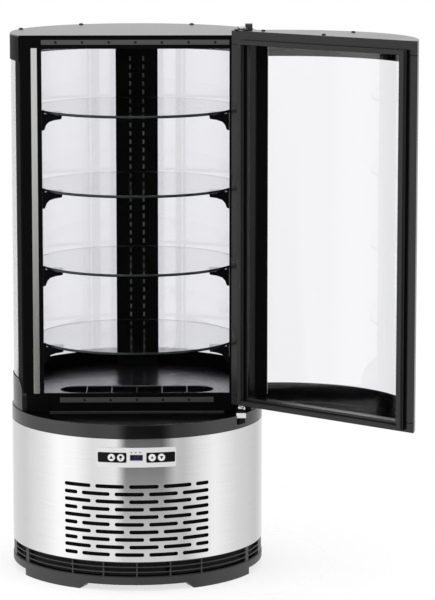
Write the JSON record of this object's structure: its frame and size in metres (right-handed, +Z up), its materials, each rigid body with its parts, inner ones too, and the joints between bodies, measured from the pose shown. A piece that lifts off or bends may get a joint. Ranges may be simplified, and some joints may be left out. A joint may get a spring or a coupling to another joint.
{
  "type": "refrigerated display case",
  "caption": "Round glass display case for cakes on a slotted steel base, with a bow-fronted glass door swung open, round glass shelves and a small control panel.",
  "frame": {"origin": "under the middle of the case's box on the floor, with the door swung open 139 degrees from shut", "axes": "+Z up; the doorway and the control panel face -Y; the door hangs on the +X side"},
  "size_m": [0.6996, 0.5946, 0.9795],
  "materials": {
    "black_plastic": "satin black moulding",
    "dark_moulding": "fine-grained dark moulding",
    "black_enamel": "gloss black enamel on sheet steel",
    "brushed_steel": "brushed stainless sheet, slots punched",
    "steel_strip": "plain steel strip",
    "floor_steel": "polished stainless sheet",
    "clear_glass": "clear float glass, curved and flat",
    "gasket_rubber": "soft magnetic seal",
    "panel_foil": "printed foil",
    "display_window": "smoked clear window",
    "button_white": "white moulded caps",
    "lamp_diffuser": "opal diffuser",
    "chrome": "bright plated",
    "coil_aluminium": "bare finned coil",
    "zinc_sheet": "zinc-plated sheet",
    "compressor_black": "matt black enamel",
    "white_tub": "white vacuum-formed tub"
  },
  "bodies": {
    "cabinet": {"plinth": "dark_moulding", "base_pan": "zinc_sheet", "steel_wrap": "brushed_steel", "base_cover": "black_plastic", "control_panel": "panel_foil", "display": "display_window", "control_board": "dark_moulding", "sill": "black_plastic", "door_frame": "black_plastic", "strip_right": "steel_strip", "strip_left": "steel_strip", "strip_top": "steel_strip", "strip_bottom": "steel_strip", "collar": "black_plastic", "glazing_right": "clear_glass", "glazing_left": "clear_glass", "canopy": "black_enamel", "floor_plate": "floor_steel", "evaporator_tub": "white_tub", "evaporator": "coil_aluminium", "evaporator_motor": "dark_moulding", "air_column": "black_plastic", "light_bar_right": "lamp_diffuser", "light_bar_left": "lamp_diffuser", "lower_hinge_bracket": "zinc_sheet", "lower_hinge_pin": "chrome", "upper_hinge_bracket": "black_enamel", "upper_hinge_pin": "chrome", "condenser": "coil_aluminium", "fan_shroud": "zinc_sheet", "condenser_motor": "zinc_sheet", "compressor": "compressor_black", "shelf_1": "clear_glass", "bracket_right_1": "black_plastic", "bracket_left_1": "black_plastic", "bracket_rear_1": "black_plastic", "shelf_2": "clear_glass", "bracket_right_2": "black_plastic", "bracket_left_2": "black_plastic", "bracket_rear_2": "black_plastic", "shelf_3": "clear_glass", "bracket_right_3": "black_plastic", "bracket_left_3": "black_plastic", "bracket_rear_3": "black_plastic", "shelf_4": "clear_glass", "bracket_right_4": "black_plastic", "bracket_left_4": "black_plastic", "bracket_rear_4": "black_plastic"},
    "door": {"door_bottom_cap": "black_plastic", "door_top_cap": "black_plastic", "door_hinge_stile": "black_plastic", "door_free_stile": "black_plastic", "door_pane": "clear_glass", "door_gasket": "gasket_rubber"},
    "condenser_fan": {"condenser_fan": "dark_moulding"},
    "evaporator_fan": {"evaporator_fan": "dark_moulding"},
    "button_up": {"button_up": "button_white"},
    "button_lamp": {"button_lamp": "button_white"},
    "button_defrost": {"button_defrost": "button_white"},
    "button_down": {"button_down": "button_white"}
  },
  "joints": [
    {"name": "door_hinge", "type": "hinge", "parent": "cabinet", "child": "door", "pos_m": [0.05921, -0.03935, 0.64], "axis": [0, 0, 1], "range_deg": [-139, 6]},
    {"name": "condenser_fan_spin", "type": "hinge", "parent": "cabinet", "child": "condenser_fan", "pos_m": [-0.12481, -0.06545, 0.0907], "axis": [0, 1, 0], "continuous": true},
    {"name": "evaporator_fan_spin", "type": "hinge", "parent": "cabinet", "child": "evaporator_fan", "pos_m": [-0.12481, 0.10625, 0.2568], "axis": [0, 1, 0], "continuous": true},
    {"name": "button_up_press", "type": "slide", "parent": "cabinet", "child": "button_up", "axis": [0.1917, 0.9814, 0], "range_m": [0, 0.001], "stiffness_N_per_m": 300},
    {"name": "button_lamp_press", "type": "slide", "parent": "cabinet", "child": "button_lamp", "axis": [0.1202, 0.9927, 0], "range_m": [0, 0.001], "stiffness_N_per_m": 300},
    {"name": "button_defrost_press", "type": "slide", "parent": "cabinet", "child": "button_defrost", "axis": [-0.1202, 0.9927, 0], "range_m": [0, 0.001], "stiffness_N_per_m": 300},
    {"name": "button_down_press", "type": "slide", "parent": "cabinet", "child": "button_down", "axis": [-0.1917, 0.9814, 0], "range_m": [0, 0.001], "stiffness_N_per_m": 300}
  ]
}
